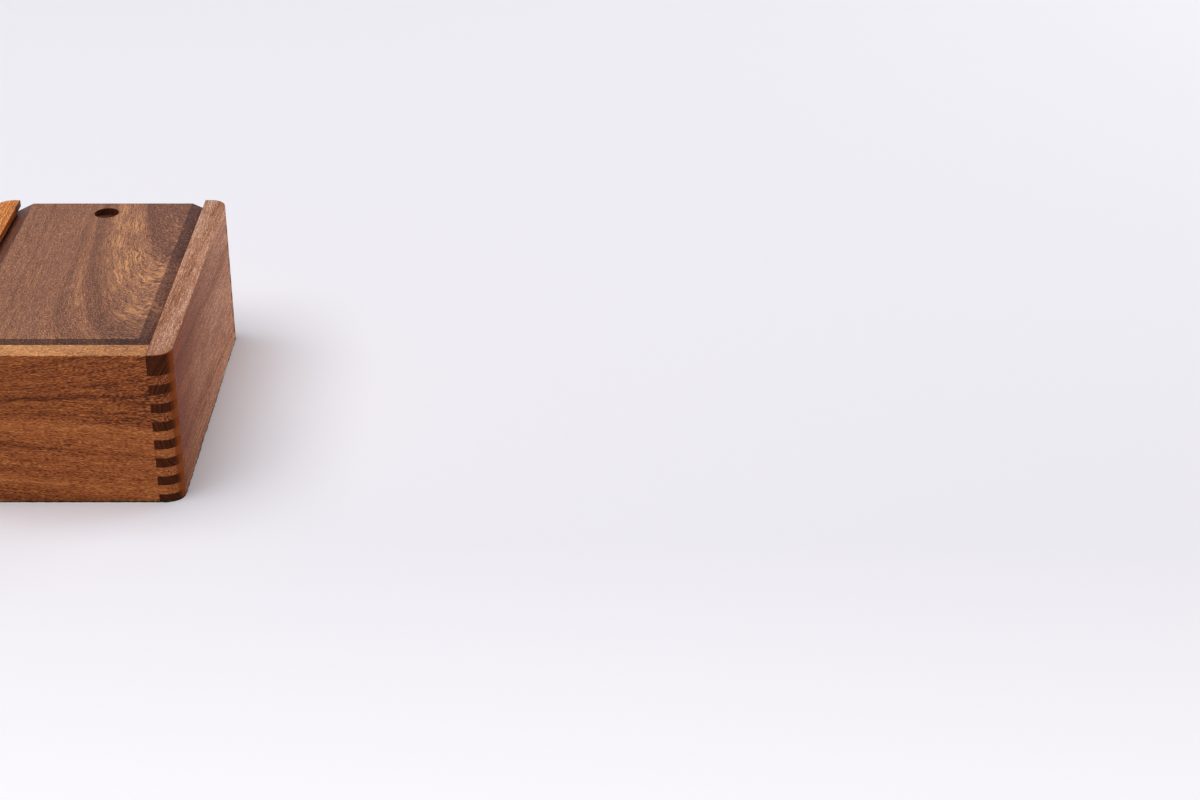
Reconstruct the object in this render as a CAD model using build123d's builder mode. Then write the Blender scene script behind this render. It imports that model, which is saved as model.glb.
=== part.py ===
"""Wooden box for chess pieces: finger-jointed walls and a bevelled lid that slides in grooves.

Millimetres. The origin is the centre of the base's underside, +Z is up, the front faces -Y,
and the lid slides out towards +Y, over the lower back wall.
"""
from build123d import *
import math
import os

os.makedirs("parts", exist_ok=True)

# ---------------------------------------------------------------- driving dimensions

# The carcass
bay_width = 129.0              # inside, between the two side walls
box_length = 243.5             # outside, front to back
wall_thickness = 15.0          # all four walls
wall_height = 101.4            # front and side walls, without the felt
corner_radius = 11.0           # the upright corners, rounded over after gluing
top_easing = 0.8               # the outer top edges, broken with sandpaper
lip_easing = 0.4               # the inner top edges

# The finger joint, counted from the bottom of the walls
finger_height = 6.35           # one finger and one socket are each this high
bottom_finger_height = 5.0     # the side walls' lowest finger

# The grooves that the lid runs in
groove_height = 6.35
groove_lip = 4.7               # wood left above the groove
side_groove_depth = 5.0
front_groove_depth = 2.5

# The lid
lid_thickness = 8.4
lid_edge_thickness = 1.5       # what the bevels leave of it at the front and sides
side_bevel_run = 14.0          # width of the side bevels, seen from above
front_bevel_run = 15.5         # width of the front bevel
lid_side_clearance = 0.4       # between the lid and each side groove
lid_front_clearance = 0.7      # between the lid and the front groove
lid_edge_easing = 0.5          # the square back edge

# The finger scoop, cut with a flat-bottomed cutter tilted towards the back
scoop_width = 16.8
scoop_depth = 4.5              # at the back, where it is deepest
scoop_tilt = 10.0              # degrees
scoop_back_margin = 8.8        # from the scoop to the lid's back edge
scoop_offset = -1.3            # from the middle of the lid, to the right

# The bottom, the divider and the cloth
bottom_thickness = 5.0
bottom_rebate = 5.0            # how far the bottom reaches under each wall's inner face
divider_thickness = 8.0
divider_offset = 0.0           # from the middle of the box, towards the back
dado_depth = 4.0
divider_lid_gap = 1.0          # between the divider and the lid
felt_thickness = 0.8           # under the base
lining_thickness = 1.0         # inside the bays
lining_reveal = 3.0            # bare wood between the lining and the lid groove

# ---------------------------------------------------------------- sizes worked out from these

half_bay = bay_width / 2
box_width = bay_width + 2 * wall_thickness
half_length = box_length / 2
inner_end = half_length - wall_thickness

base_z = felt_thickness
rim_z = base_z + wall_height
groove_top_z = rim_z - groove_lip
groove_floor_z = groove_top_z - groove_height
floor_z = base_z + bottom_thickness
divider_top_z = groove_floor_z - divider_lid_gap
lining_top_z = groove_floor_z - lining_reveal

# Fingers and sockets alternate above the bottom one, as many as fit below the lid's groove.
# The side walls' top finger takes the rest of the height and hides the groove's end.
first_finger_z = base_z + bottom_finger_height
finger_pitch = 2 * finger_height
finger_count = int((groove_floor_z - first_finger_z + finger_height) // finger_pitch)

lid_width = bay_width + 2 * (side_groove_depth - lid_side_clearance)
lid_front_y = -inner_end - front_groove_depth + lid_front_clearance
lid_length = half_length - lid_front_y
lid_top_z = groove_floor_z + lid_thickness

CENTRED_UP = (Align.CENTER, Align.CENTER, Align.MIN)
FROM_FRONT = (Align.CENTER, Align.MIN, Align.MIN)


def save(piece, label):
    """Label a finished piece and write its file."""
    piece.part.label = label
    export_step(piece.part, f"parts/{label}.step")


# ---------------------------------------------------------------- cuts that several pieces share

# The outline of the box with its rounded corners, as high as the walls
with BuildPart() as rounded_block:
    with BuildSketch(Plane.XY.offset(base_z)):
        RectangleRounded(box_width, box_length, corner_radius)
    extrude(amount=wall_height)

# The space that the lid runs in: it stops in the front wall and is open at the back
with BuildPart() as lid_slot:
    with Locations((0, -inner_end - front_groove_depth, groove_floor_z)):
        Box(
            bay_width + 2 * side_groove_depth,
            inner_end + front_groove_depth + half_length,
            groove_height,
            align=FROM_FRONT,
        )

# The rebate round the walls' lower inner edges, filled by the bottom panel
with BuildPart() as bottom_rebate_space:
    with Locations((0, 0, base_z)):
        Box(
            bay_width + 2 * bottom_rebate,
            2 * (inner_end + bottom_rebate),
            bottom_thickness,
            align=CENTRED_UP,
        )

# The two dados and the space between them, filled by the divider
with BuildPart() as divider_space:
    with Locations((0, divider_offset, floor_z)):
        Box(
            bay_width + 2 * dado_depth,
            divider_thickness,
            divider_top_z - floor_z,
            align=CENTRED_UP,
        )


# ---------------------------------------------------------------- front and back walls


def end_wall(face_y, top_z):
    """A board between the side walls, with fingers that pass through them at both ends.

    face_y is the board's lower Y, and top_z the height of its top edge.
    """
    with BuildPart() as wall:
        with BuildSketch(Plane.XZ.offset(-face_y)):
            with Locations((0, base_z)):
                Rectangle(bay_width, top_z - base_z, align=(Align.CENTER, Align.MIN))
            for number in range(finger_count):
                with Locations((0, first_finger_z + number * finger_pitch)):
                    Rectangle(box_width, finger_height, align=(Align.CENTER, Align.MIN))
        extrude(amount=-wall_thickness)
        add(rounded_block.part, mode=Mode.INTERSECT)
        add(bottom_rebate_space.part, mode=Mode.SUBTRACT)
    return wall


front_blank = end_wall(-half_length, rim_z)
with BuildPart() as front_wall:
    add(front_blank.part)
    add(lid_slot.part, mode=Mode.SUBTRACT)
    rim = front_wall.faces().sort_by(Axis.Z)[-1]
    fillet(rim.edges().filter_by(Axis.X).sort_by(Axis.Y)[0], top_easing)
    rim = front_wall.faces().sort_by(Axis.Z)[-1]
    fillet(rim.edges().filter_by(Axis.X).sort_by(Axis.Y)[-1], lip_easing)
save(front_wall, "front_wall")

back_wall = end_wall(inner_end, groove_floor_z)
save(back_wall, "back_wall")

# ---------------------------------------------------------------- side walls

# The right wall is a full-length board. Its sockets take the front and back walls' fingers,
# so what is left between them is its own fingers, with the tall top one over the groove's end.
with BuildPart() as right_wall:
    with Locations((half_bay, 0, base_z)):
        Box(wall_thickness, box_length, wall_height, align=(Align.MIN, Align.CENTER, Align.MIN))
    for end_y in (-half_length, inner_end):
        for number in range(finger_count):
            with Locations((half_bay, end_y, first_finger_z + number * finger_pitch)):
                Box(
                    wall_thickness,
                    wall_thickness,
                    finger_height,
                    align=(Align.MIN, Align.MIN, Align.MIN),
                    mode=Mode.SUBTRACT,
                )
    add(rounded_block.part, mode=Mode.INTERSECT)
    add(lid_slot.part, mode=Mode.SUBTRACT)
    add(bottom_rebate_space.part, mode=Mode.SUBTRACT)
    add(divider_space.part, mode=Mode.SUBTRACT)
    # The outer top edge is eased all the way round, with both corner arcs
    rim = right_wall.faces().sort_by(Axis.Z)[-1]
    inner_rim_edge = rim.edges().filter_by(Axis.Y).sort_by(Axis.X)[0]
    fillet(rim.edges() - ShapeList([inner_rim_edge]), top_easing)
    # The inner top edge is eased only behind the front wall, whose top lies flush with this one
    with BuildSketch(Plane.XZ.offset(inner_end)):
        with Locations((half_bay, rim_z)):
            Rectangle(lip_easing, lip_easing, align=(Align.MIN, Align.MAX))
        with Locations((half_bay + lip_easing, rim_z - lip_easing)):
            Circle(lip_easing, mode=Mode.SUBTRACT)
    extrude(amount=-(inner_end + half_length), mode=Mode.SUBTRACT)
save(right_wall, "right_wall")

with BuildPart() as left_wall:
    mirror(right_wall.part, about=Plane.YZ)
save(left_wall, "left_wall")

# ---------------------------------------------------------------- bottom and divider

with BuildPart() as bottom_panel:
    add(bottom_rebate_space.part)
save(bottom_panel, "bottom_panel")

with BuildPart() as divider:
    add(divider_space.part)
save(divider, "divider")

# ---------------------------------------------------------------- sliding lid

# The scoop's floor rises from its back towards the front, and its wall leans by the same angle,
# so the wall's foot lies a little further forward than its rim
tilt = math.radians(scoop_tilt)
scoop_back_y = half_length - scoop_back_margin
scoop_foot_y = scoop_back_y - scoop_depth * math.tan(tilt)
scoop_front_depth = scoop_depth - scoop_width * math.sin(tilt)

with BuildPart() as sliding_lid:
    with Locations((0, lid_front_y, groove_floor_z)):
        Box(lid_width, lid_length, lid_thickness, align=FROM_FRONT)
    # Each bevel is a slope from the lid's thin edge up to its flat field. The front one meets
    # the two side ones in mitres, and the back edge stays square.
    bevel_drop = lid_thickness - lid_edge_thickness
    bevel_foot_z = groove_floor_z + lid_edge_thickness
    for side in (-1, 1):
        side_slope = Plane(
            origin=(side * lid_width / 2, 0, bevel_foot_z),
            z_dir=(side * bevel_drop, 0, side_bevel_run),
        )
        split(bisect_by=side_slope, keep=Keep.BOTTOM)
    front_slope = Plane(
        origin=(0, lid_front_y, bevel_foot_z),
        z_dir=(0, -bevel_drop, front_bevel_run),
    )
    split(bisect_by=front_slope, keep=Keep.BOTTOM)
    lid_field = sliding_lid.faces().sort_by(Axis.Z)[-1]
    fillet(lid_field.edges().sort_by(Axis.Y)[-1], lid_edge_easing)
    # The scoop: the cutter's flat end lies on a plane that falls towards the back
    scoop_foot = Vector(scoop_offset, scoop_foot_y, lid_top_z - scoop_depth)
    with BuildSketch(Plane(origin=scoop_foot, x_dir=(1, 0, 0), z_dir=(0, math.sin(tilt), math.cos(tilt)))):
        with Locations((0, -scoop_width / 2)):
            Circle(scoop_width / 2)
    extrude(amount=2 * lid_thickness, mode=Mode.SUBTRACT)
save(sliding_lid, "sliding_lid")

# ---------------------------------------------------------------- cloth

with BuildPart() as base_felt:
    with BuildSketch():
        RectangleRounded(box_width, box_length, corner_radius)
    extrude(amount=felt_thickness)
save(base_felt, "base_felt")

# Each bay runs from an end wall to the divider's face on that side
bays = {
    "front_bay": (-inner_end, divider_offset - divider_thickness / 2),
    "back_bay": (divider_offset + divider_thickness / 2, inner_end),
}
side_lining_z = floor_z + lining_thickness
side_lining_height = lining_top_z - side_lining_z

for bay, (near_y, far_y) in bays.items():
    bay_length = far_y - near_y
    middle_y = (near_y + far_y) / 2

    with BuildPart() as floor_lining:
        with Locations((0, middle_y, floor_z)):
            Box(bay_width, bay_length, lining_thickness, align=CENTRED_UP)
    save(floor_lining, f"{bay}_floor_lining")

    # The end and divider linings span the bay, standing on the floor lining
    near_name, far_name = ("end", "divider") if bay == "front_bay" else ("divider", "end")
    for name, lining_y in ((near_name, near_y), (far_name, far_y - lining_thickness)):
        with BuildPart() as cross_lining:
            with Locations((0, lining_y, side_lining_z)):
                Box(bay_width, lining_thickness, side_lining_height, align=FROM_FRONT)
        save(cross_lining, f"{bay}_{name}_lining")

    # The left and right linings fit between those two
    for name, side in (("left", -1), ("right", 1)):
        with BuildPart() as side_lining:
            with Locations((side * (half_bay - lining_thickness / 2), middle_y, side_lining_z)):
                Box(
                    lining_thickness,
                    bay_length - 2 * lining_thickness,
                    side_lining_height,
                    align=CENTRED_UP,
                )
        save(side_lining, f"{bay}_{name}_lining")

print(f"box {box_width} x {box_length} x {rim_z} mm, lid {lid_width} x {lid_length:.1f} x {lid_thickness} mm")
print(f"lid field at {lid_top_z:.2f}, groove {groove_floor_z:.2f} to {groove_top_z:.2f}, rim {rim_z:.2f}")
print(f"scoop {scoop_depth:.2f} deep at the back and about {scoop_front_depth:.1f} at the front")
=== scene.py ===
# %% [markdown]
# # A wooden box with a sliding lid
#
# The real object is a small hardwood box: four walls with finger joints, a bevelled lid that
# slides in grooves, a divider, green baize inside and green felt underneath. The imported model
# already holds every board at its real size, so this lesson is about two things: how wood
# looks, and how cloth looks. It starts by loading that model and keeping its size.

import math

import bmesh
import bpy
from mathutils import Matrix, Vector


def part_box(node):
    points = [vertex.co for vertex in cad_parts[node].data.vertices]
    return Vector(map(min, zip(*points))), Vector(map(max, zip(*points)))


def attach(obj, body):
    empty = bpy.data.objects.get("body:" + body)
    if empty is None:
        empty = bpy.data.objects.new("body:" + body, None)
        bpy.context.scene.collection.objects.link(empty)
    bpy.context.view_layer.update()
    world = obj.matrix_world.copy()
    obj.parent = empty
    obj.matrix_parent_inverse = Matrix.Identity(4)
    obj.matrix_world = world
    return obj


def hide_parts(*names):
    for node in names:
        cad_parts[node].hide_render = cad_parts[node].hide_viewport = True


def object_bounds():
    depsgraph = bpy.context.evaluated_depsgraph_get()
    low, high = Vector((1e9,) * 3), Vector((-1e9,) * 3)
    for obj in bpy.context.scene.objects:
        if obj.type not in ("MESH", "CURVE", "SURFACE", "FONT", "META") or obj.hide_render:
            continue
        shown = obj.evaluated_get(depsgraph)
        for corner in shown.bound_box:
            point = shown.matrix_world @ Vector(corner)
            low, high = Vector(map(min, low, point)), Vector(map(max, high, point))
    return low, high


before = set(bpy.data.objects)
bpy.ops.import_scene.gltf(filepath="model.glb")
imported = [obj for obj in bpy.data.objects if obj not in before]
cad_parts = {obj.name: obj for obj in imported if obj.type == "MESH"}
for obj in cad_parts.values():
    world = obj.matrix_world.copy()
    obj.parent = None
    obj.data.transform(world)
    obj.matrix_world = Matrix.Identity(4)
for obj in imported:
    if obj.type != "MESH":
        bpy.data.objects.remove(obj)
cad_low, cad_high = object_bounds()
print("CAD box in metres:", [round(v, 4) for v in (*cad_low, *cad_high)])

# %% [markdown]
# ## The camera
#
# A camera is a place, a direction and a lens. The photograph was taken from the box's right,
# looking slightly down, with a long lens. A long lens keeps parallel edges nearly parallel,
# which is why the box looks calm and square. The place and direction are in the box's own
# frame, so nothing else has to be fitted.

# %% Camera
CAMERA_PLACE = Vector((0.3445, -1.4091, 0.7428))
CAMERA_LOOKS = Vector((-0.003542, 0.886804, -0.462133))
CAMERA_RIGHT = Vector((0.999994, 0.002992, -0.001923))
LENS_MM = 71.4
SENSOR_MM = 36.0


def add_camera():
    """A camera whose three axes are its right, its up and the way back from what it sees."""
    data = bpy.data.cameras.new("camera")
    data.lens = LENS_MM
    data.sensor_width = SENSOR_MM
    camera = bpy.data.objects.new("camera", data)
    bpy.context.scene.collection.objects.link(camera)
    back = -CAMERA_LOOKS
    up = back.cross(CAMERA_RIGHT)
    turn = camera.matrix_world.copy()
    for row in range(3):
        turn[row][0] = CAMERA_RIGHT[row]
        turn[row][1] = up[row]
        turn[row][2] = back[row]
        turn[row][3] = CAMERA_PLACE[row]
    camera.matrix_world = turn
    bpy.context.scene.camera = camera
    return camera


add_camera()
down = math.degrees(math.asin(-CAMERA_LOOKS.z))
print("camera", LENS_MM, "mm, looks down", round(down, 1), "degrees")

# %% [markdown]
# ## A short way to write shader nodes
#
# A material is a small chart of nodes. Adding each node and each wire by hand takes three
# lines, which hides the idea. This helper adds a node, sets its values and plugs in what it
# is given, so that a recipe reads like a recipe. Colours are written as a picture program
# shows them, and turned into the linear values that the renderer needs.

# %% Shader helper
MM = 1000.0     # object coordinates are metres, and the recipes below are in millimetres
WHITE = (1.0, 1.0, 1.0, 1.0)


def colour(red, green, blue):
    """A colour given as 0 to 255 in a picture, as linear light."""
    def linear(value):
        share = value / 255
        return share / 12.92 if share <= 0.04045 else ((share + 0.055) / 1.055) ** 2.4
    return (linear(red), linear(green), linear(blue), 1.0)


class Recipe:
    """One material and short ways to add its nodes."""

    def __init__(self, name):
        self.material = bpy.data.materials.new(name)
        self.material.use_nodes = True
        self.tree = self.material.node_tree
        self.tree.nodes.clear()
        self.surface = self.tree.nodes.new("ShaderNodeBsdfPrincipled")
        output = self.tree.nodes.new("ShaderNodeOutputMaterial")
        self.tree.links.new(self.surface.outputs["BSDF"], output.inputs["Surface"])

    def put(self, socket, value):
        """Plug in another node's output, or set the socket's own value."""
        if isinstance(value, bpy.types.NodeSocket):
            self.tree.links.new(value, socket)
        elif value is not None:
            socket.default_value = value

    def node(self, kind, values=None, **settings):
        """A node with its inputs given by name, or by number where names repeat."""
        node = self.tree.nodes.new(kind)
        for name, value in settings.items():
            setattr(node, name, value)
        for name, value in (values or {}).items():
            self.put(node.inputs[name], value)
        return node

    def math(self, operation, a, b=None, c=None, clamp=False):
        node = self.node("ShaderNodeMath", operation=operation, use_clamp=clamp)
        for socket, value in zip(node.inputs, (a, b, c)):
            self.put(socket, value)
        return node.outputs[0]

    def vector(self, operation, a, b=None, scale=None):
        node = self.node("ShaderNodeVectorMath", operation=operation)
        self.put(node.inputs[0], a)
        self.put(node.inputs[1], b)
        if scale is not None:
            self.put(node.inputs["Scale"], scale)
        return node.outputs["Value" if operation == "LENGTH" else "Vector"]

    def join(self, x, y, z):
        return self.node("ShaderNodeCombineXYZ", {"X": x, "Y": y, "Z": z}).outputs[0]

    def parts(self, vector):
        """The X, Y and Z of a vector."""
        return self.node("ShaderNodeSeparateXYZ", {"Vector": vector}).outputs

    def place(self):
        """Where a point is on the object, in millimetres."""
        return self.vector("SCALE", self.node("ShaderNodeTexCoord").outputs["Object"], scale=MM)

    def normal(self):
        """The X, Y and Z of the direction that the surface faces."""
        return self.parts(self.node("ShaderNodeTexCoord").outputs["Normal"])


print("helper ready")

# %% [markdown]
# ## Noise and ramps
#
# Nature is uneven, and noise is how a shader says so. A wood streak is long one way and thin the
# others, so the noise here takes a size for each direction. It averages 0.5, and swing lets it
# push a value up in one place and down in another by the same amount.

# %% Noise and ramps
def noise(recipe, vector, size, detail=2.0, roughness=0.5, distortion=0.0):
    """Noise of one size in each direction, in millimetres."""
    values = {
        "Vector": recipe.vector("DIVIDE", vector, size), "Scale": 1.0,
        "Detail": detail, "Roughness": roughness, "Distortion": distortion,
    }
    return recipe.node("ShaderNodeTexNoise", values).outputs["Fac"]


def noise_along(recipe, distance, size, detail=2.0, roughness=0.5):
    """Noise that changes with one distance only, as growth rings do."""
    values = {
        "W": recipe.math("DIVIDE", distance, size), "Scale": 1.0,
        "Detail": detail, "Roughness": roughness,
    }
    return recipe.node("ShaderNodeTexNoise", values, noise_dimensions="1D").outputs["Fac"]


def swing(recipe, value, reach, around=0.0):
    """Push around up or down, by how far a value is from 0.5."""
    return recipe.math("MULTIPLY_ADD", recipe.math("SUBTRACT", value, 0.5), reach, around)


def spread(recipe, value, low, high, to_low=0.0, to_high=1.0, kind="SMOOTHSTEP"):
    """Stretch the part of a value from low to high. A low above high turns it round."""
    values = {
        "Value": value, "From Min": low, "From Max": high, "To Min": to_low, "To Max": to_high,
    }
    return recipe.node("ShaderNodeMapRange", values, interpolation_type=kind).outputs["Result"]


def ramp(recipe, value, stops):
    """A colour ramp from (place, colour) pairs."""
    node = recipe.node("ShaderNodeValToRGB", {"Fac": value})
    marks = node.color_ramp.elements
    while len(marks) < len(stops):
        marks.new(0.5)
    for mark, (place, shade) in zip(marks, stops):
        mark.position = place
        mark.color = shade
    return node.outputs["Color"]


def mix(recipe, share, a, b, blend="MIX"):
    """Two colours mixed, or multiplied and kept within what a surface can reflect."""
    node = recipe.node("ShaderNodeMix", {0: share, 6: a, 7: b}, data_type="RGBA", blend_type=blend)
    node.clamp_result = blend == "MULTIPLY"
    return node.outputs[2]


def bump(recipe, height, distance, strength):
    """Small heights that only bend the light. distance is how high they are, in metres."""
    values = {"Height": height, "Distance": distance, "Strength": strength}
    return recipe.node("ShaderNodeBump", values).outputs["Normal"]


print("noise, ramps and bumps ready")

# %% [markdown]
# ## Grain
#
# Wood isn't a picture wrapped round a board. It is solid: rings, streaks and pores run through
# it, and each face is a cut. So the recipe works on Object coordinates in all three directions.
# On a face along the grain the pores come out as short dashes, and on a finger's end as dots,
# with no extra work. The first step is a set of coordinates that runs along the grain.

# %% Grain of a board
AXES = "XYZ"


def grain_frame(recipe, along, offset):
    """Object coordinates in millimetres, turned so that the first one runs along the grain."""
    place = recipe.parts(recipe.vector("ADD", recipe.place(), offset))
    first = AXES.index(along)
    second, third = [axis for axis in range(3) if axis != first]
    return place[first], place[second], place[third]


def end_grain(recipe, along):
    """1 on a face cut square across the grain, 0 on a face along it."""
    return recipe.math("ABSOLUTE", recipe.normal()[AXES.index(along)])


def shades(recipe, distance, stops):
    """How much lighter or darker a board is at a distance, from (distance, change) pairs."""
    widest = stops[-1][0]
    marks = [(place / widest, (change + 0.5,) * 3 + (1.0,)) for place, change in stops]
    grey = ramp(recipe, recipe.math("DIVIDE", distance, widest), marks)
    return recipe.math("SUBTRACT", grey, 0.5)


print("grain ready")

# %% [markdown]
# ## Pores, fibres and end grain
#
# Three small things make wood look like wood from close by. Pores are short dark dashes along
# the grain, crowded in some zones. Some fibres catch the light. And end grain soaks up oil: the
# wood turns amber where the fibres begin to show their ends, and dark where it is cut square.

# %% Pores, fibres and end grain
PORE_CELL = (4.0, 0.95, 0.95)     # the room that one pore has: along the grain, and across it
AMBER = colour(150, 70, 16)
AMBER_SHARE = 0.85


def shade_of(tone, factor):
    """A lighter or darker shade of a colour."""
    return tuple(factor * value for value in tone[:3]) + (1.0,)


def open_pores(recipe, grain, clouds):
    """1 in an open pore. The clouds make them wider in some zones."""
    scaled = recipe.vector("DIVIDE", grain, PORE_CELL)
    cells = recipe.node("ShaderNodeTexVoronoi", {"Vector": scaled, "Scale": 1.0})
    width = recipe.math("MULTIPLY_ADD", clouds, 0.5, 0.05)
    return recipe.math("SUBTRACT", 1.0, spread(recipe, cells.outputs["Distance"], 0.1, width))


def bright_fibres(recipe, grain):
    """1 on the fibres that catch the light: short glints, and longer threads."""
    glints = spread(recipe, noise(recipe, grain, (8.0, 0.6, 0.6), detail=1.0), 0.52, 0.64)
    threads = spread(recipe, noise(recipe, grain, (26.0, 0.8, 4.0), detail=0.0), 0.5, 0.66)
    return recipe.math("MAXIMUM", recipe.math("MULTIPLY", glints, 0.8), threads)


def oil_the_ends(recipe, wood, end_tone, oiled, sunk, layers):
    """Wood that is amber where it is oiled, and dark where the oil has sunk right in."""
    specks = layers["specks"]
    amber = mix(recipe, spread(recipe, specks, 0.35, 0.7), AMBER, shade_of(AMBER, 0.6))
    wood = mix(recipe, recipe.math("MULTIPLY", oiled, AMBER_SHARE), wood, amber)
    rings = spread(recipe, swing(recipe, specks, 0.6, layers["lines"]), 0.4, 0.72)
    dark_end = mix(recipe, rings, end_tone, shade_of(end_tone, 2.6))
    return mix(recipe, sunk, wood, dark_end)


print("pores, fibres and end grain ready")

# %% [markdown]
# ## A finished board
#
# Now the steps of a real board are put together. A pith line runs along the grain, some way
# outside the board, and the distance from it gives the growth rings. A slow noise makes the
# grain wander. Zones, clouds, lines, streaks, dashes and specks each lighten or darken the
# board a little, and one ramp turns the sum into colour. Last come the finish, which is duller
# on pores and oiled ends, and a bump of a tenth of a millimetre.

# %% Figure of a board
WANDER_MM = 12.0
BROAD_WEIGHTS = {"zones": 0.7, "clouds": 0.4, "lines": 0.3, "streaks": 0.75}
FINE_WEIGHTS = {"dashes": 0.33, "specks": 0.72}


def wander_and_ring(recipe, length, across, depth, pith):
    """The place across the grain once it has wandered, and the distance from the pith."""
    wander = noise(recipe, recipe.join(length, across, depth), (150.0, 40.0, 40.0))
    across = swing(recipe, wander, WANDER_MM, across)
    from_pith = recipe.join(
        0.0, recipe.math("SUBTRACT", across, pith[0]), recipe.math("SUBTRACT", depth, pith[1])
    )
    return across, recipe.vector("LENGTH", from_pith)


def figure(recipe, grain, ring, zone_size, line_size):
    """The layers of a board's figure. Sizes are along the grain, across it and through it."""
    return {
        "zones": noise_along(recipe, ring, zone_size, detail=3.0, roughness=0.6),
        "clouds": noise(recipe, grain, (60.0, 22.0, 22.0)),
        "lines": noise_along(recipe, ring, line_size, roughness=0.7),
        "streaks": noise(recipe, grain, (70.0, 1.3, 1.3), roughness=0.6),
        "dashes": noise(recipe, grain, (9.0, 0.5, 0.5), detail=0.0),
        "specks": noise(recipe, grain, (2.2, 0.32, 0.32), detail=0.0),
    }


def tone_of(recipe, layers, broad, fine):
    """How light the board is, from 0 to 1, with every layer in it."""
    tone = 0.5
    for weights, strength in ((BROAD_WEIGHTS, broad), (FINE_WEIGHTS, fine)):
        for layer, weight in weights.items():
            tone = swing(recipe, layers[layer], weight * strength, tone)
    return tone


print("figure:", *BROAD_WEIGHTS, *FINE_WEIGHTS)

# %% Finish of a board
WOOD_SHINE = 0.12
GRAIN_HEIGHT = 0.0001


def satin(recipe, wood, layers, pores, oiled, roughness):
    """Put the finish on: duller on the pores and the oiled ends, and not quite smooth."""
    surface = recipe.surface.inputs
    recipe.put(surface["Base Color"], wood)
    rough = swing(recipe, layers["streaks"], 0.3, roughness)
    rough = recipe.math("MULTIPLY_ADD", pores, 0.15, rough)
    rough = recipe.math("MULTIPLY_ADD", oiled, 0.35, rough, clamp=True)
    recipe.put(surface["Roughness"], rough)
    surface["Specular IOR Level"].default_value = WOOD_SHINE
    height = recipe.math("MULTIPLY_ADD", pores, -0.8, layers["specks"])
    recipe.put(surface["Normal"], bump(recipe, height, GRAIN_HEIGHT, 0.5))


print("finish ready, bump", GRAIN_HEIGHT * MM, "mm")

# %% Wood recipe
def hardwood(
    name,
    along,
    tones,
    end_tone,
    offset=(0.0, 0.0, 0.0),
    pith=(30.0, -60.0),
    bend=None,
    bands=None,
    seam=None,
    zone_size=16.0,
    line_size=1.4,
    broad=1.0,
    fine=1.0,
    pore_depth=0.6,
    amber_from=(0.06, 0.28),
    dark_from=(0.38, 0.76),
    painted_light_and_oil=None,
    fleck_tone=None,
    fleck_patch=None,
    roughness=0.42,
):
    """A finished hardwood board.

    along is the axis of the grain, tones the colours from dark to light, and pith the tree's
    centre across the grain, in millimetres. bend(recipe, length, across, depth) turns the grain
    aside, and bands, with the same inputs, returns a value that lightens or darkens places.
    broad and fine say how strong the large and the small figure are. The painted light and oil
    argument returns a colour that is multiplied over the board: painted light and shade on some
    faces, and on the lid's bevels oil as well. amber_from and dark_from say how square to the
    grain a face is where each colour of the oil starts and is full.
    """
    recipe = Recipe(name)
    length, across, depth = grain_frame(recipe, along, offset)
    if bend:
        length, across, depth = bend(recipe, length, across, depth)
    across, ring = wander_and_ring(recipe, length, across, depth, pith)
    grain = recipe.join(length, across, depth)
    layers = figure(recipe, grain, ring, zone_size, line_size)
    tone = tone_of(recipe, layers, broad, fine)
    if bands:
        tone = recipe.math("ADD", tone, bands(recipe, length, across, depth))
    steps = len(tones) - 1
    wood = ramp(recipe, tone, [(number / steps, shade) for number, shade in enumerate(tones)])

    pores = open_pores(recipe, grain, layers["clouds"])
    wood = mix(recipe, recipe.math("MULTIPLY", pores, pore_depth), wood, tones[0])
    if fleck_tone:
        patch = fleck_patch(recipe, length, across, depth, ring)
        flecks = recipe.math("MULTIPLY", bright_fibres(recipe, grain), patch)
        wood = mix(recipe, flecks, wood, fleck_tone)
    # Painted light and shade, face by face, and on the lid's bevels oil too, multiplied over the
    # wood
    if painted_light_and_oil:
        wood = mix(recipe, 1.0, wood, painted_light_and_oil(recipe), blend="MULTIPLY")

    cut = end_grain(recipe, along)
    oiled = spread(recipe, cut, *amber_from)
    sunk = spread(recipe, cut, *dark_from)
    wood = oil_the_ends(recipe, wood, end_tone, oiled, sunk, layers)
    if seam:
        wood = mix(recipe, seam(recipe), wood, end_tone)

    satin(recipe, wood, layers, pores, oiled, roughness)
    print("wood:", name, "grain along", along, "nodes", len(recipe.tree.nodes))
    return recipe.material


# %% [markdown]
# ## Painted light on faces
#
# The faces of one board don't all look alike under the lamps, and some of that is painted in
# here: a top edge is painted paler, as light and sheen from above, and a moulding that is cut
# across the pores takes more oil and is also painted darker, as shade. Each is a thin tint that
# is laid over one face and leaves the others alone. The face is found by the direction that it
# looks in.

# %% Painted light on faces, and dressing
def facing(recipe, axis, sign=1):
    """1 on a face that looks along an axis, 0 on the others."""
    towards = recipe.math("MULTIPLY", recipe.normal()[AXES.index(axis)], sign)
    return spread(recipe, towards, 0.5, 0.8)


def painted_face_light(*faces):
    """Painted light and shade, with its own tint on some faces: (axis, sign, tint) for each."""
    def painted_light_and_oil(recipe):
        tint = WHITE
        for axis, sign, shade in faces:
            tint = mix(recipe, facing(recipe, axis, sign), tint, (*shade, 1.0))
        return tint
    return painted_light_and_oil


def dress(node_name, material):
    """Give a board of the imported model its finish."""
    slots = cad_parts[node_name].data.materials
    slots.clear()
    slots.append(material)
    print(node_name, "is dressed in", material.name)


# %% [markdown]
# ## The front board's colours
#
# The front board is the one that the photograph shows best: brown over its upper part, with a
# dark streak, and more orange below. Its bands follow the height above the table, because
# that is the direction across its grain. So they are a short list of heights, each with how
# much lighter or darker the board is there, and a slow noise keeps them from being ruled lines.

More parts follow.
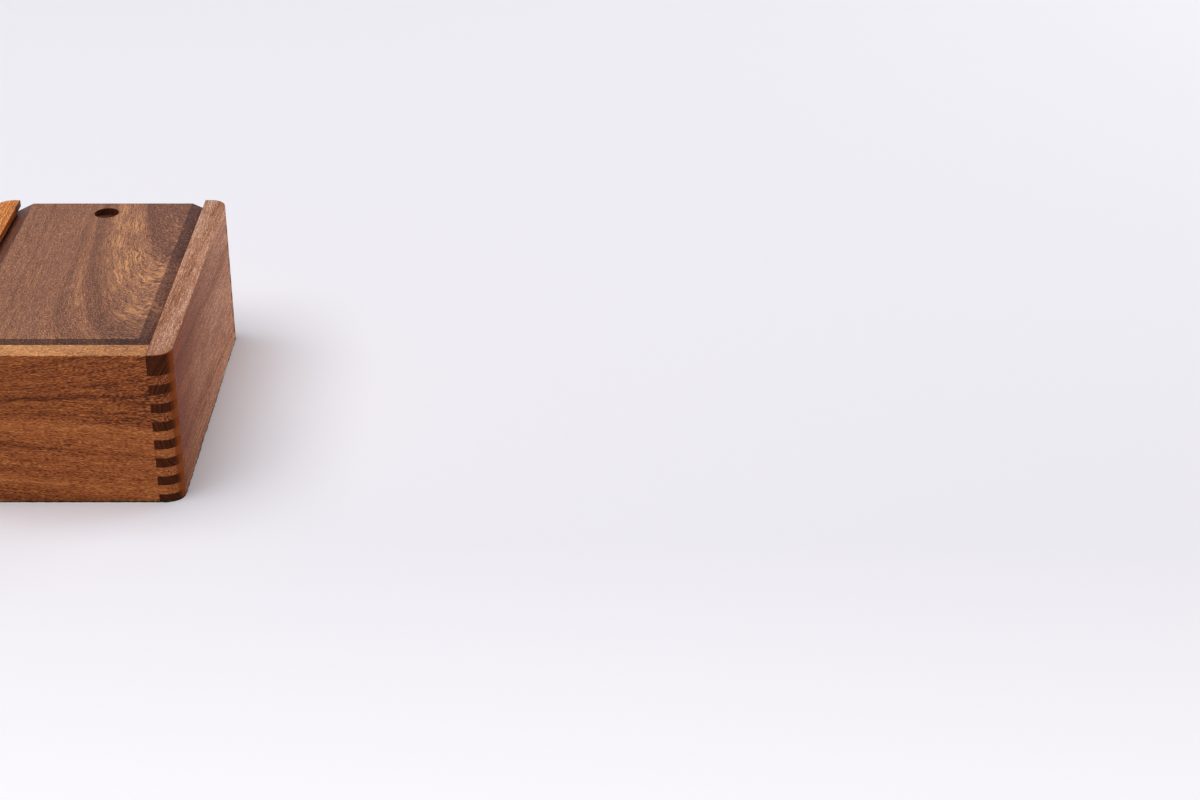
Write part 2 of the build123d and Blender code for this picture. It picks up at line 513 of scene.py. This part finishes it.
# %% Carcass tones
END_BROWN = colour(62, 28, 12)        # the side boards' ends, which show as dark fingers
BOARD_END = colour(104, 56, 30)       # the front and back boards' ends, seen from the side
FRONT_TONES = (
    colour(74, 32, 12), colour(130, 64, 28), colour(178, 98, 48), colour(206, 124, 64),
    colour(232, 156, 88),
)
SIDE_TONES = (
    colour(84, 40, 20), colour(136, 76, 46), colour(168, 104, 70), colour(192, 132, 98),
    colour(226, 172, 140),
)
print("tones:", len(FRONT_TONES), "for the front board,", len(SIDE_TONES), "for the sides")

# %% Bands of the front board
# Height above the table at the box's middle, in millimetres, and how much lighter or darker
# the board is there
FRONT_BANDS = (
    (0.0, -0.16), (8.0, -0.03), (14.0, 0.06), (20.0, -0.02), (22.0, -0.13), (24.5, 0.02),
    (31.0, 0.05), (36.0, 0.0), (38.5, -0.18), (41.0, 0.03), (45.0, 0.08), (56.0, 0.07),
    (61.0, -0.17), (70.5, -0.12), (72.8, -0.36), (75.0, -0.11), (84.0, -0.08), (94.0, -0.16),
    (102.2, -0.06),
)
FAN_FOOT, FAN_CHANGE, FAN_MOST = 0.43, -0.0062, 0.11     # slope at the foot, its change per mm


def front_bands(recipe, length, across, depth):
    """The front board's bands, by a height that wobbles along the board."""
    wobble = noise(recipe, recipe.join(length, 0.0, depth), (60.0, 1.0, 12.0), detail=3.0)
    return shades(recipe, swing(recipe, wobble, 7.0, depth), FRONT_BANDS)


def fan_out(recipe, length, across, depth):
    """The front board's grain falls to the right low down and rises to the right high up."""
    slope = recipe.math("MULTIPLY_ADD", depth, FAN_CHANGE, FAN_FOOT)
    slope = recipe.math("MINIMUM", slope, FAN_MOST)
    return length, across, recipe.math("MULTIPLY_ADD", length, slope, depth)


print("front board:", len(FRONT_BANDS), "heights")

# %% [markdown]
# ## Front and back boards
#
# The corners were rounded after gluing, so the round shows wood cut more and more across its
# fibres: first brown, then amber. Their square ends show only from the side. The front board's
# top edge is painted much paler than its face, as light and sheen from above, and its face a
# little darker, as painted shade. The back board, which the camera doesn't see, is made from the
# same wood cut from another part of the plank, so it gets the recipe with an offset.

# %% Front and back boards
ROUNDED_END = {"amber_from": (0.62, 0.8), "dark_from": (0.95, 0.995)}
# Painted light: the front board's top edge is painted paler, and its face gets painted shade
FRONT_TOP_PAINTED_LIGHT = (1.3, 1.95, 2.8)
FRONT_FACE_PAINTED_SHADE = (0.93, 0.93, 0.96)

front_wood = hardwood(
    "front_board", "X", FRONT_TONES, BOARD_END,
    pith=(-90.0, 40.0), zone_size=9.0, broad=0.5, fine=1.7, pore_depth=0.35,
    bend=fan_out, bands=front_bands,
    painted_light_and_oil=painted_face_light(("Z", 1, FRONT_TOP_PAINTED_LIGHT), ("Y", -1, FRONT_FACE_PAINTED_SHADE)), **ROUNDED_END,
)
back_wood = hardwood(
    "back_board", "X", FRONT_TONES, BOARD_END,
    offset=(310.0, 40.0, 25.0), pith=(120.0, 10.0), zone_size=14.0, fine=1.9, pore_depth=0.45,
    **ROUNDED_END,
)
dress("front_wall", front_wood)
dress("back_wall", back_wood)

# %% [markdown]
# ## The glue line
#
# Where a side board's end meets the front board there is a thin dark line of glue. It lies in
# the plane of the joint, so two comparisons of coordinates place it. Both planes are read from
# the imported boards, so the line stays in the joint if the box changes.

# %% Glue line
JOINT_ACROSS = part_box("right_wall")[0].x * MM     # the side boards' inner faces
JOINT_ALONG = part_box("back_wall")[0].y * MM       # the end boards' inner faces
GLUE_LINE = 0.35
GLUE_SHOWS = 0.7


def glue_line(recipe):
    """How dark the thin line of glue is where a side board meets an end board."""
    x, y, z = recipe.parts(recipe.place())
    near_joint = recipe.math("LESS_THAN", recipe.math("ABSOLUTE", x), JOINT_ACROSS + GLUE_LINE)
    at_end = recipe.math("GREATER_THAN", recipe.math("ABSOLUTE", y), JOINT_ALONG)
    return recipe.math("MULTIPLY", recipe.math("MULTIPLY", near_joint, at_end), GLUE_SHOWS)


print("joints at", round(JOINT_ACROSS, 2), "mm across and", round(JOINT_ALONG, 2), "mm along")

# %% [markdown]
# ## The side boards
#
# The right board is the one seen from the side: orange near the front corner, and paler and
# pinker towards its back and its foot. That change is painted light: painted shade darkens its
# front, and a painted sheen pales its back and foot, by a number that grows from the front to the
# back and from the top to the foot. The left board shows only its top edge and its inner lip, so
# two plain tints are enough: painted light on the top edge and painted shade on the lip.

# %% Painted sheen and shade of the right board
BOX_LENGTH = (cad_high.y - cad_low.y) * MM
BOX_HEIGHT = cad_high.z * MM
FOOT_SHIFT, TOP_SHIFT = 0.2, -0.16    # the foot is as pale as a place further back
RIGHT_FALL = 0.07
# From front to back, what the wood's red, green and blue are multiplied by: painted shade
# at the front, painted sheen towards the back
RIGHT_SIDE_PAINTED_SHEEN_AND_SHADE = (
    (0.0, (0.5, 0.24, 0.1)), (0.22, (0.66, 0.52, 0.42)), (0.5, (1.0, 1.03, 1.06)),
    (1.0, (1.5, 1.8, 2.05)),
)
# The top edge's painted sheen, from front to back
RIGHT_TOP_PAINTED_SHEEN = (
    (0.0, (0.84, 0.96, 1.15)), (0.5, (1.02, 1.25, 1.5)), (1.0, (0.92, 1.14, 1.4)),
)


def tints_along(recipe, share, tints):
    """A tint that changes along a board."""
    return ramp(recipe, share, [(place, (*tint, 1.0)) for place, tint in tints])


def painted_right_sheen_and_shade(recipe):
    """Painted shade at the right board's front, and painted sheen towards its back and foot."""
    x, y, z = recipe.parts(recipe.place())
    back = recipe.math("MULTIPLY_ADD", y, 1 / BOX_LENGTH, 0.5)
    low = recipe.math("MULTIPLY_ADD", z, (TOP_SHIFT - FOOT_SHIFT) / BOX_HEIGHT, FOOT_SHIFT)
    side = tints_along(recipe, recipe.math("ADD", back, low), RIGHT_SIDE_PAINTED_SHEEN_AND_SHADE)
    top = tints_along(recipe, back, RIGHT_TOP_PAINTED_SHEEN)
    return mix(recipe, facing(recipe, "Z"), side, top)


def falling_grain(recipe, length, across, depth):
    """The right board's dark streaks slant down towards its back."""
    return length, across, recipe.math("MULTIPLY_ADD", length, RIGHT_FALL, depth)


print("box", round(BOX_LENGTH, 1), "mm long and", round(BOX_HEIGHT, 1), "mm high")

# %% Side boards
# Painted light on the left board's top edge, and painted shade on its inner lip
LEFT_TOP_PAINTED_LIGHT = (1.36, 1.7, 1.8)
LEFT_LIP_PAINTED_SHADE = (0.87, 0.71, 0.55)

right_wood = hardwood(
    "right_board", "Y", SIDE_TONES, END_BROWN,
    offset=(20.0, 70.0, 0.0), pith=(160.0, 55.0), zone_size=12.0, broad=1.1, fine=1.6,
    pore_depth=0.5, bend=falling_grain, seam=glue_line, painted_light_and_oil=painted_right_sheen_and_shade, roughness=0.62,
)
left_wood = hardwood(
    "left_board", "Y", FRONT_TONES, END_BROWN,
    offset=(-40.0, 400.0, 30.0), pith=(-120.0, 70.0), zone_size=12.0, broad=0.85, fine=1.6,
    seam=glue_line, painted_light_and_oil=painted_face_light(("Z", 1, LEFT_TOP_PAINTED_LIGHT), ("X", 1, LEFT_LIP_PAINTED_SHADE)),
    roughness=0.62,
)
dress("right_wall", right_wood)
dress("left_wall", left_wood)

# %% [markdown]
# ## The lid's grain
#
# The lid is one wide board with its grain from front to back. A branch once grew near its back
# right corner, and the grain flows round it in nested curves, which come out at the lid's right
# edge. Ellipses do this: the distance from the branch, with the lengthwise part shortened, is
# the same all along such a curve. On the lid's left half the grain is nearly straight, so there
# the plain distance across takes over.

# %% Grain of the lid
BRANCH_ACROSS = 56.0          # the branch's place, to the right of the box's middle
BRANCH_ALONG = 199.0          # and behind it
BRANCH_STRETCH = 0.207        # an ellipse's width for its length
STRAIGHT_OFFSET = 68.0        # the straight grain's distance at the box's middle
STRAIGHT_LEAN = 0.04
CURVES_FROM, CURVES_FULL = -22.0, 16.0
RIPPLE_MM = 2.6
RIPPLES_NONE, RIPPLES_FULL = 66.0, 50.0
# Distance from the branch in millimetres, and how much lighter or darker the lid is there
LID_SHADES = (
    (0.0, -0.05), (32.0, -0.10), (35.0, 0.04), (45.0, 0.08), (54.0, 0.04), (60.0, -0.13),
    (64.0, -0.08), (69.0, 0.02), (76.0, -0.04), (83.0, 0.04), (100.0, 0.0),
)


def round_the_branch(recipe, length, across, depth):
    """Grain coordinates that flow round a branch behind the lid's right corner."""
    side = recipe.math("SUBTRACT", BRANCH_ACROSS, across)
    ahead = recipe.math("SUBTRACT", BRANCH_ALONG, length)
    ahead = recipe.math("MULTIPLY", ahead, BRANCH_STRETCH)
    curved = recipe.vector("LENGTH", recipe.join(side, ahead, 0.0))
    straight = recipe.math("SUBTRACT", STRAIGHT_OFFSET, across)
    straight = recipe.math("MULTIPLY_ADD", length, -STRAIGHT_LEAN, straight)
    share = spread(recipe, across, CURVES_FROM, CURVES_FULL)
    values = {0: share, 2: straight, 3: curved}
    bent = recipe.node("ShaderNodeMix", values, data_type="FLOAT").outputs[0]
    ripple = noise(recipe, recipe.join(length, across, 0.0), (9.0, 6.0, 6.0), detail=1.0)
    ripple = swing(recipe, ripple, RIPPLE_MM)
    ripple = recipe.math("MULTIPLY", ripple, spread(recipe, bent, RIPPLES_NONE, RIPPLES_FULL))
    return recipe.math("ADD", length, side), recipe.math("ADD", bent, ripple), depth


def lid_shades(recipe, length, across, depth):
    """Broad zones of the lid, which follow its curves."""
    return shades(recipe, across, LID_SHADES)


print("lid:", len(LID_SHADES), "zones round the branch")

# %% [markdown]
# ## The lid's flecks and bevels
#
# The fibres that turn round the branch catch the light as golden flecks, so the flecks are
# thickest on the curves, and the wood inside them is dark and plain. The bevels were cut
# across the pores, so they took more oil than the field, and they are also painted darker for
# shade: the walls' lips stand over them, and they catch less sheen. The scoop is painted dark,
# as the shade inside it. They are told apart by how far each face leans: the bevels lean out,
# and the scoop's floor leans back.

# %% Flecks and bevels of the lid
LID_FLECK = colour(226, 160, 104)
# Oil and painted shade on the bevels, and painted shade in the scoop
SIDE_BEVEL_OIL_AND_PAINTED_SHADE = (0.58, 0.53, 0.62, 1.0)
FRONT_BEVEL_OIL_AND_PAINTED_SHADE = (0.34, 0.28, 0.26, 1.0)
SCOOP_PAINTED_SHADE = (0.3, 0.25, 0.22, 1.0)


def golden_patch(recipe, length, across, depth, ring):
    """How many golden flecks a place has."""
    inside = spread(recipe, across, 33.0, 38.0)
    turning = recipe.math("MULTIPLY", inside, spread(recipe, across, 62.0, 50.0))
    patch = spread(recipe, noise_along(recipe, ring, 7.0), 0.42, 0.62)
    patch = recipe.math("MULTIPLY", patch, inside)
    clump = noise(recipe, recipe.join(length, across, depth), (30.0, 9.0, 9.0), detail=1.0)
    clump = spread(recipe, clump, 0.35, 0.65, 0.25, 1.0)
    share = recipe.math("MULTIPLY_ADD", turning, 0.5, recipe.math("MULTIPLY", patch, 0.25))
    return recipe.math("MULTIPLY", share, clump, clamp=True)


def bevel_oil_and_painted_shade(recipe):
    """Oil and painted shade on the bevels, and painted shade in the scoop."""
    x, y, z = recipe.normal()
    at_side = spread(recipe, recipe.math("ABSOLUTE", x), 0.2, 0.4)
    at_front = spread(recipe, recipe.math("MULTIPLY", y, -1.0), 0.2, 0.38)
    # The lid's own back face looks straight back, so it is left out again
    leans_back = spread(recipe, y, 0.08, 0.15)
    in_scoop = recipe.math("MULTIPLY", leans_back, spread(recipe, y, 0.6, 0.3))
    tint = mix(recipe, at_side, WHITE, SIDE_BEVEL_OIL_AND_PAINTED_SHADE)
    tint = mix(recipe, at_front, tint, FRONT_BEVEL_OIL_AND_PAINTED_SHADE)
    return mix(recipe, in_scoop, tint, SCOOP_PAINTED_SHADE)


print("flecks and bevels ready")

# %% Lid wood
LID_TONES = (
    colour(66, 36, 24), colour(100, 60, 42), colour(128, 81, 58), colour(158, 106, 78),
    colour(204, 150, 108),
)
NO_AMBER = (1.2, 1.4)     # no face is so square to the grain, so none of the lid turns amber

lid_wood = hardwood(
    "lid_board", "Y", LID_TONES, END_BROWN,
    pith=(-400.0, 0.0), zone_size=8.0, line_size=1.1, broad=0.55, fine=1.9, pore_depth=0.7,
    bend=round_the_branch, bands=lid_shades, painted_light_and_oil=bevel_oil_and_painted_shade, fleck_tone=LID_FLECK,
    fleck_patch=golden_patch, roughness=0.45, amber_from=NO_AMBER, dark_from=(0.45, 0.95),
)
dress("sliding_lid", lid_wood)

# %% [markdown]
# ## Bottom and divider
#
# The thin boards inside are made from the sides' paler wood and only sanded, so they are
# duller. Cloth hides most of them, and what shows is the divider's top edge. So one wood, with
# no bands or bends of its own, does for both.

# %% Bottom and divider
inner_wood = hardwood(
    "inner_board", "X", SIDE_TONES, END_BROWN,
    offset=(90.0, 200.0, 60.0), pith=(40.0, -140.0), roughness=0.55,
)
dress("bottom_panel", inner_wood)
dress("divider", inner_wood)

# %% [markdown]
# ## Felt and baize
#
# Felt is pressed wool: no threads, only a mat of fibres, slightly blotchy, with a soft edge.
# Baize is woven and then raised to a nap, so it looks much the same from a step away. The
# sheen of the shader's own cloth layer gives the pale rim that wool has when light grazes it.

# %% Cloth recipe
FELT_TONES = (colour(8, 34, 24), colour(16, 54, 38))
BAIZE_TONES = (colour(14, 62, 38), colour(28, 96, 60))
WOOL_HEIGHT = 0.0003


def wool(name, tones):
    """Pressed or napped wool cloth."""
    recipe = Recipe(name)
    place = recipe.place()
    hairs = noise(recipe, place, (0.35, 0.35, 0.35), detail=3.0, roughness=0.7, distortion=1.6)
    mat = noise(recipe, place, (3.2, 3.2, 3.2), detail=3.0, roughness=0.6)
    nap = noise(recipe, place, (38.0, 24.0, 30.0))
    tone = swing(recipe, nap, 0.9, swing(recipe, mat, 0.8, hairs))
    surface = recipe.surface.inputs
    recipe.put(surface["Base Color"], ramp(recipe, tone, [(0.25, tones[0]), (0.75, tones[1])]))
    surface["Roughness"].default_value = 0.95
    surface["Specular IOR Level"].default_value = 0.15
    surface["Sheen Weight"].default_value = 0.35
    surface["Sheen Roughness"].default_value = 0.5
    surface["Sheen Tint"].default_value = tones[1]
    height = recipe.math("MULTIPLY_ADD", mat, 0.6, hairs)
    recipe.put(surface["Normal"], bump(recipe, height, WOOL_HEIGHT, 0.7))
    print("cloth:", name)
    return recipe.material


felt = wool("green_felt", FELT_TONES)
baize = wool("green_baize", BAIZE_TONES)

# %% [markdown]
# ## Cutting the linings
#
# A glued lining is nearly a flat plate, but its cut edges are soft and its face isn't dead
# flat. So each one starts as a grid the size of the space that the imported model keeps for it.
# Solidify gives it the cloth's thickness, Bevel rounds its edges, and Displace lifts its open
# side a little here and there. A vertex group keeps the glued side flat.

# %% Lining cutter
SQUARE_MM = 4.0           # the squares of the grid
SOFT_EDGE = 0.00035       # metres, as are the next two
UNEVENNESS = 0.0005
WAVE_LENGTH = 0.016
OPEN_FROM = 0.4           # share of the thickness, from its middle, where the open face begins
CREASE = math.radians(40)

nap_waves = bpy.data.textures.new("nap_waves", "CLOUDS")
nap_waves.noise_scale = WAVE_LENGTH
nap_waves.noise_depth = 1


def only_selected(obj):
    """Deselect everything else and make this the object that operators work on."""
    bpy.ops.object.select_all(action="DESELECT")
    obj.select_set(True)
    bpy.context.view_layer.objects.active = obj


def apply_modifier(obj, kind, name, **settings):
    """Add a modifier, set it up and apply it."""
    modifier = obj.modifiers.new(name, kind)
    for key, value in settings.items():
        setattr(modifier, key, value)
    only_selected(obj)
    bpy.ops.object.modifier_apply(modifier=modifier.name)


def cut_lining(node_name, open_side):
    """A baize lining in its place. open_side is the axis and sign that its nap faces."""
    low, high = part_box(node_name)
    size = high - low
    middle = (low + high) / 2
    axis, sign = open_side
    turns = {0: (0.0, math.pi / 2, 0.0), 1: (math.pi / 2, 0.0, 0.0), 2: (0.0, 0.0, 0.0)}
    # The grid's own width and length, before it is stood up
    wide = {0: (size.z, size.y), 1: (size.x, size.z), 2: (size.x, size.y)}[axis]
    bpy.ops.object.select_all(action="DESELECT")
    bpy.ops.mesh.primitive_grid_add(
        x_subdivisions=round(wide[0] * MM / SQUARE_MM),
        y_subdivisions=round(wide[1] * MM / SQUARE_MM),
        size=1.0, location=middle, rotation=turns[axis],
    )
    lining = bpy.context.active_object
    lining.name = f"{node_name}_cloth"
    lining.scale = (wide[0], wide[1], 1.0)
    only_selected(lining)
    bpy.ops.object.transform_apply(location=True, rotation=True, scale=True)
    apply_modifier(lining, "SOLIDIFY", "thickness", thickness=size[axis], offset=0.0)
    apply_modifier(
        lining, "BEVEL", "soft_edge", width=SOFT_EDGE, segments=2, limit_method="ANGLE"
    )
    open_face = lining.vertex_groups.new(name="open_face")
    level = middle[axis] + sign * size[axis] * OPEN_FROM
    inner = [v.index for v in lining.data.vertices if (v.co[axis] - level) * sign > 0]
    open_face.add(inner, 1.0, "REPLACE")
    apply_modifier(
        lining, "DISPLACE", "uneven", texture=nap_waves, texture_coords="LOCAL",
        vertex_group="open_face", strength=UNEVENNESS, mid_level=0.6,
    )
    bpy.ops.object.shade_smooth_by_angle(angle=CREASE)
    lining.data.materials.append(baize)
    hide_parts(node_name)
    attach(lining, "box")
    return lining


# %% [markdown]
# ## The ten linings
#
# Each bay is lined with five pieces: one laid on the floor, and one glued to each of its four
# sides. The two bays mirror each other about the divider, so one loop lines both, and only the
# direction towards the divider changes its sign.

# %% The ten linings
for bay, towards_divider in (("front", 1), ("back", -1)):
    cut_lining(f"{bay}_bay_floor_lining", (2, 1))
    cut_lining(f"{bay}_bay_end_lining", (1, towards_divider))
    cut_lining(f"{bay}_bay_divider_lining", (1, -towards_divider))
    cut_lining(f"{bay}_bay_left_lining", (0, 1))
    cut_lining(f"{bay}_bay_right_lining", (0, -1))

# %% [markdown]
# ## The base felt
#
# The felt under the box was cut with scissors round the box's own outline, so its edge is
# almost straight. A plane at the felt's size gets its corners rounded by a vertex bevel. Its
# outline is then divided into short lengths, each point is moved by a hair, and an extrude
# gives the thickness.

# %% Base felt
CORNER_RADIUS = 0.011
CUT_LENGTH_MM = 3.0       # how far the scissors go before they stray
SCISSOR_WOBBLE = 0.00025
LONG_EDGE = 0.02          # longer edges are the straight sides, and shorter ones the corners


def cut_base_felt():
    """The felt under the box, cut to the box's own outline."""
    low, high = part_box("base_felt")
    size = high - low
    bpy.ops.object.select_all(action="DESELECT")
    bpy.ops.mesh.primitive_plane_add(size=1.0, location=((low.x + high.x) / 2, 0.0, low.z))
    base = bpy.context.active_object
    base.name = "base_felt_cloth"
    base.scale = (size.x, size.y, 1.0)
    only_selected(base)
    bpy.ops.object.transform_apply(location=True, rotation=True, scale=True)
    bpy.ops.object.mode_set(mode="EDIT")
    bpy.ops.mesh.select_all(action="SELECT")
    bpy.ops.mesh.bevel(affect="VERTICES", offset=CORNER_RADIUS, segments=6)

    # Divide only the long straight edges, then move every point by a hair
    bpy.ops.mesh.select_all(action="DESELECT")
    bpy.ops.mesh.select_mode(type="EDGE")
    mesh = bmesh.from_edit_mesh(base.data)
    for edge in mesh.edges:
        edge.select_set(edge.calc_length() > LONG_EDGE)
    bmesh.update_edit_mesh(base.data)
    bpy.ops.mesh.subdivide(number_cuts=round(size.y * MM / CUT_LENGTH_MM))
    bpy.ops.mesh.select_mode(type="VERT")
    bpy.ops.mesh.select_all(action="SELECT")
    bpy.ops.transform.vertex_random(offset=SCISSOR_WOBBLE, uniform=1.0, normal=0.0, seed=7)
    bpy.ops.object.mode_set(mode="OBJECT")
    for vertex in base.data.vertices:
        vertex.co.z = low.z

    bpy.ops.object.mode_set(mode="EDIT")
    bpy.ops.mesh.select_all(action="SELECT")
    bpy.ops.mesh.extrude_region_move(TRANSFORM_OT_translate={"value": (0.0, 0.0, size.z)})
    bpy.ops.mesh.select_all(action="SELECT")
    bpy.ops.mesh.normals_make_consistent(inside=False)
    bpy.ops.object.mode_set(mode="OBJECT")
    base.data.materials.append(felt)
    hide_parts("base_felt")
    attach(base, "box")
    return base


cut_base_felt()

# %% [markdown]
# ## Floor
#
# A box like this is photographed on a white sweep. The floor is one large pale plane that takes
# the box's shadow. A little of its paleness is a glow that only the camera, a gloss or something
# clear can see, so that the box isn't lit by it. That glow is painted light: a pool of it,
# brighter near the camera and fading to a faint glow before the box.

# %% Floor
FLOOR_HALF = 6.0
FLOOR_COLOUR = colour(240, 238, 244)
FLOOR_GLOW = (1.0, 0.97, 0.87, 1.0)
NEAR_GLOW, FAR_GLOW = 0.15, 0.02
GLOW_FROM, GLOW_TO = -0.45, -0.17     # metres from the box's middle, from near glow to far


def add_floor():
    """A large pale floor, level with the felt's underside."""
    bpy.ops.object.select_all(action="DESELECT")
    bpy.ops.mesh.primitive_plane_add(size=2 * FLOOR_HALF, location=(0, 0, cad_low.z))
    floor = bpy.context.active_object
    floor.name = "floor"
    recipe = Recipe("studio_floor")
    surface = recipe.surface.inputs
    surface["Base Color"].default_value = FLOOR_COLOUR
    surface["Roughness"].default_value = 0.7
    surface["Specular IOR Level"].default_value = 0.2
    place = recipe.node("ShaderNodeTexCoord").outputs["Object"]
    x, y, z = recipe.parts(place)
    # Painted light: a pool of glow, strongest near the camera, fading to a faint glow before the
    # box
    glow = spread(recipe, y, GLOW_FROM, GLOW_TO, NEAR_GLOW, FAR_GLOW, kind="LINEAR")
    path = recipe.node("ShaderNodeLightPath").outputs
    seen = path["Is Camera Ray"]
    for ray in ("Is Glossy Ray", "Is Transmission Ray"):
        seen = recipe.math("MAXIMUM", seen, path[ray])
    surface["Emission Color"].default_value = FLOOR_GLOW
    recipe.put(surface["Emission Strength"], recipe.math("MULTIPLY", seen, glow))
    floor.data.materials.append(recipe.material)
    print("floor", 2 * FLOOR_HALF, "m square")
    return floor


add_floor()

# %% [markdown]
# ## Light
#
# One large softbox high up on the left gives the soft shadow at the right, and makes the top
# brighter than the upright faces. A small one, low down behind the box on its right, fills that
# shadow and lights the right board. The sky is dim for the object. What the camera sees of it,
# directly, in a gloss or through something clear, is paler, as a studio's white walls would be.

# %% Light
scene = bpy.context.scene
scene.view_settings.view_transform = "Standard"

SKY_LIGHT, SKY_SEEN = 0.15, 0.86
SKY_COLOUR = (0.93, 0.94, 1.0, 1.0)


def add_world():
    """An even pale sky: dim for the object, pale for the camera."""
    world = bpy.data.worlds.new("studio")
    world.use_nodes = True
    scene.world = world
    tree = world.node_tree
    background = tree.nodes["Background"]
    path = tree.nodes.new("ShaderNodeLightPath")
    seen = path.outputs["Is Camera Ray"]
    for ray in ("Is Glossy Ray", "Is Transmission Ray"):
        either = tree.nodes.new("ShaderNodeMath")
        either.operation = "MAXIMUM"
        tree.links.new(seen, either.inputs[0])
        tree.links.new(path.outputs[ray], either.inputs[1])
        seen = either.outputs[0]
    level = tree.nodes.new("ShaderNodeMapRange")
    level.inputs["To Min"].default_value = SKY_LIGHT
    level.inputs["To Max"].default_value = SKY_SEEN
    tree.links.new(seen, level.inputs["Value"])
    background.inputs["Color"].default_value = SKY_COLOUR
    tree.links.new(level.outputs["Result"], background.inputs["Strength"])
    print("sky", SKY_LIGHT, "for the object and", SKY_SEEN, "for what sees it")


def softbox(name, place, aim, side, power):
    """A square studio lamp that faces the point it is aimed at."""
    data = bpy.data.lights.new(name, "AREA")
    data.shape = "SQUARE"
    data.size = side
    data.energy = power
    lamp = bpy.data.objects.new(name, data)
    scene.collection.objects.link(lamp)
    lamp.location = place
    lamp.rotation_euler = (Vector(aim) - Vector(place)).to_track_quat("-Z", "Y").to_euler()
    print("lamp", name, side, "m square,", power, "W")
    return lamp


add_world()
softbox("top_softbox", (-1.2, -0.3, 4.2), aim=(0.1, 0.0, 0.0), side=4.6, power=203.0)
softbox("right_fill", (2.0, 1.4, 0.9), aim=(0.08, 0.0, 0.05), side=1.6, power=16.0)
